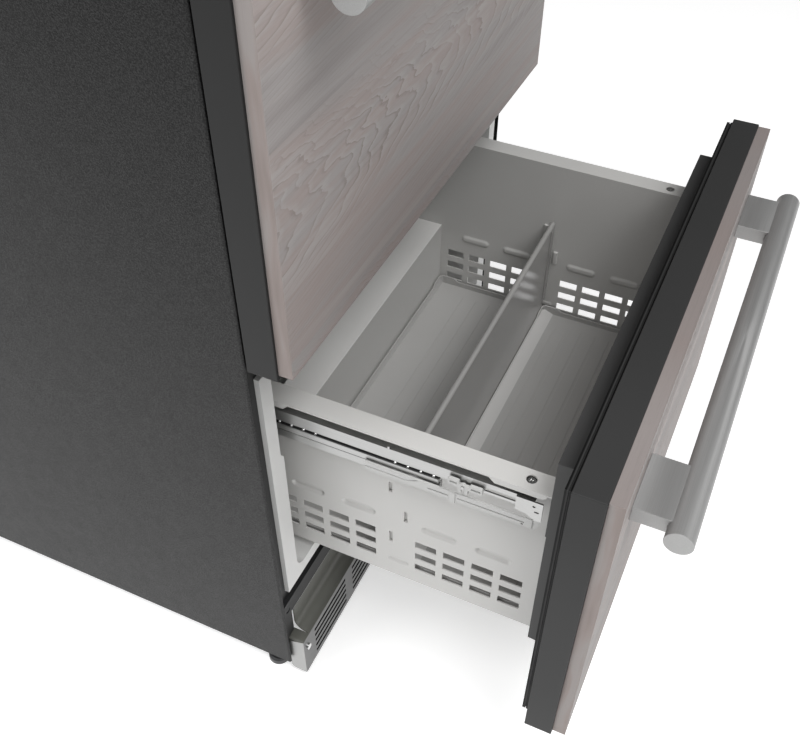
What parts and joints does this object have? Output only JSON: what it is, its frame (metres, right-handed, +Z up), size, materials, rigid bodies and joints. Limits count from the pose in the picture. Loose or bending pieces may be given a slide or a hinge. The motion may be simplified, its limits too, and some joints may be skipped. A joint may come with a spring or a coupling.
{
  "type": "undercounter drawer refrigerator",
  "caption": "Undercounter refrigerator with stacked wood-faced pull-out drawers on ball-bearing slides, round bar handles and a slotted toe grille.",
  "frame": {"origin": "on the floor, under the middle of the cabinet's front plane", "axes": "+X to the right seen from the front, -Y out of the front, +Z up"},
  "size_m": [0.606, 0.943, 0.889],
  "materials": {
    "wrapper": "textured powder coat",
    "frame": "satin",
    "liner": "semi-gloss",
    "foam": "matte",
    "zinc": "satin",
    "stainless": "brushed",
    "toe_plate": "satin",
    "screw": "polished",
    "leg": "satin",
    "machine_black": "satin",
    "fan_dark": "satin",
    "fan_light": "satin",
    "fin": "satin",
    "door": "satin",
    "gasket": "satin",
    "wood": "satin veneer",
    "box": "satin",
    "mat": "semi-gloss",
    "rail": "satin",
    "cage": "satin",
    "lever": "satin",
    "panel": "gloss"
  },
  "bodies": {
    "cabinet": {"cabinet_wrapper": "wrapper", "face_frame": "frame", "lower_liner": "liner", "upper_liner": "liner", "insulation": "foam", "rear_cover": "wrapper", "base_pan": "zinc", "toe_grille": "stainless", "toe_plate": "toe_plate", "toe_screws": "screw", "compressor": "machine_black", "condenser": "machine_black", "condenser_fan_motor": "zinc", "evaporator": "fin", "evaporator_cover": "liner", "control_panel": "panel", "lower_cabinet_rails": "rail", "upper_cabinet_rails": "rail"},
    "lower_drawer": {"lower_door_body": "door", "lower_door_liner": "door", "lower_gasket": "gasket", "lower_wood_panel": "wood", "lower_handle_bar": "stainless", "lower_handle_posts": "stainless", "lower_box_left_side": "box", "lower_box_right_side": "box", "lower_box_pan": "box", "lower_front_mat": "mat", "lower_rear_mat": "mat", "lower_flange_screws": "screw", "lower_drawer_rails": "rail"},
    "lower_middle_rails": {"lower_middle_rails": "rail"},
    "lower_inner_cages": {"lower_inner_cages": "cage"},
    "lower_outer_cages": {"lower_outer_cages": "cage"},
    "lower_divider": {"lower_divider": "mat"},
    "lower_release_levers": {"lower_release_levers": "lever"},
    "upper_drawer": {"upper_door_body": "door", "upper_door_liner": "door", "upper_gasket": "gasket", "upper_wood_panel": "wood", "upper_handle_bar": "stainless", "upper_handle_posts": "stainless", "upper_box_left_side": "box", "upper_box_right_side": "box", "upper_box_pan": "box", "upper_front_mat": "mat", "upper_rear_mat": "mat", "upper_flange_screws": "screw", "upper_drawer_rails": "rail"},
    "upper_middle_rails": {"upper_middle_rails": "rail"},
    "upper_inner_cages": {"upper_inner_cages": "cage"},
    "upper_outer_cages": {"upper_outer_cages": "cage"},
    "upper_divider": {"upper_divider": "mat"},
    "upper_release_levers": {"upper_release_levers": "lever"},
    "front_left_leg": {"front_left_leg": "leg"},
    "front_right_leg": {"front_right_leg": "leg"},
    "rear_left_leg": {"rear_left_leg": "leg"},
    "rear_right_leg": {"rear_right_leg": "leg"},
    "condenser_fan": {"condenser_fan": "fan_dark"},
    "evaporator_fan": {"evaporator_fan": "fan_light"}
  },
  "joints": [
    {"name": "lower_drawer_slide", "type": "slide", "parent": "cabinet", "child": "lower_drawer", "axis": [0, -1, 0], "range_m": [-0.2823, 0.0177]},
    {"name": "lower_middle_rails_slide", "type": "slide", "parent": "cabinet", "child": "lower_middle_rails", "axis": [0, -1, 0], "range_m": [-0.18642, 0.01178]},
    {"name": "lower_inner_cages_slide", "type": "slide", "parent": "cabinet", "child": "lower_inner_cages", "axis": [0, -1, 0], "range_m": [-0.23441, 0.01479]},
    {"name": "lower_outer_cages_slide", "type": "slide", "parent": "cabinet", "child": "lower_outer_cages", "axis": [0, -1, 0], "range_m": [-0.09326, 0.00594]},
    {"name": "lower_divider_lift", "type": "slide", "parent": "lower_drawer", "child": "lower_divider", "axis": [0, 0, 1], "range_m": [0, 0.11]},
    {"name": "lower_release_turn", "type": "hinge", "parent": "lower_drawer", "child": "lower_release_levers", "pos_m": [0, -0.1823, 0.402], "axis": [-1, 0, 0], "range_deg": [0, 6], "stiffness_Nm_per_rad": 0.05, "springref_deg": -11.46},
    {"name": "upper_drawer_slide", "type": "slide", "parent": "cabinet", "child": "upper_drawer", "axis": [0, -1, 0], "range_m": [0, 0.3]},
    {"name": "upper_middle_rails_slide", "type": "slide", "parent": "cabinet", "child": "upper_middle_rails", "axis": [0, -1, 0], "range_m": [0, 0.1981]},
    {"name": "upper_inner_cages_slide", "type": "slide", "parent": "cabinet", "child": "upper_inner_cages", "axis": [0, -1, 0], "range_m": [0, 0.2491]},
    {"name": "upper_outer_cages_slide", "type": "slide", "parent": "cabinet", "child": "upper_outer_cages", "axis": [0, -1, 0], "range_m": [0, 0.0991]},
    {"name": "upper_divider_lift", "type": "slide", "parent": "upper_drawer", "child": "upper_divider", "axis": [0, 0, 1], "range_m": [0, 0.11]},
    {"name": "upper_release_turn", "type": "hinge", "parent": "upper_drawer", "child": "upper_release_levers", "pos_m": [0, 0.1, 0.793], "axis": [-1, 0, 0], "range_deg": [0, 6], "stiffness_Nm_per_rad": 0.05, "springref_deg": -11.46},
    {"name": "front_left_leg_screw", "type": "slide", "parent": "cabinet", "child": "front_left_leg", "axis": [0, 0, -1], "range_m": [-0.018, 0.015]},
    {"name": "front_right_leg_screw", "type": "slide", "parent": "cabinet", "child": "front_right_leg", "axis": [0, 0, -1], "range_m": [-0.018, 0.015]},
    {"name": "rear_left_leg_screw", "type": "slide", "parent": "cabinet", "child": "rear_left_leg", "axis": [0, 0, -1], "range_m": [-0.018, 0.015]},
    {"name": "rear_right_leg_screw", "type": "slide", "parent": "cabinet", "child": "rear_right_leg", "axis": [0, 0, -1], "range_m": [-0.018, 0.015]},
    {"name": "condenser_fan_spin", "type": "hinge", "parent": "cabinet", "child": "condenser_fan", "pos_m": [-0.19, 0.49565, 0.12], "axis": [1, 0, 0], "continuous": true},
    {"name": "evaporator_fan_spin", "type": "hinge", "parent": "cabinet", "child": "evaporator_fan", "pos_m": [0, 0.404, 0.794], "axis": [0, 1, 0], "continuous": true}
  ],
  "couplings": [
    {"joint": "lower_middle_rails_slide", "follows": "lower_drawer_slide", "ratio": 0.66},
    {"joint": "lower_inner_cages_slide", "follows": "lower_drawer_slide", "ratio": 0.83},
    {"joint": "lower_outer_cages_slide", "follows": "lower_drawer_slide", "ratio": 0.33},
    {"joint": "upper_middle_rails_slide", "follows": "upper_drawer_slide", "ratio": 0.66},
    {"joint": "upper_inner_cages_slide", "follows": "upper_drawer_slide", "ratio": 0.83},
    {"joint": "upper_outer_cages_slide", "follows": "upper_drawer_slide", "ratio": 0.33}
  ]
}
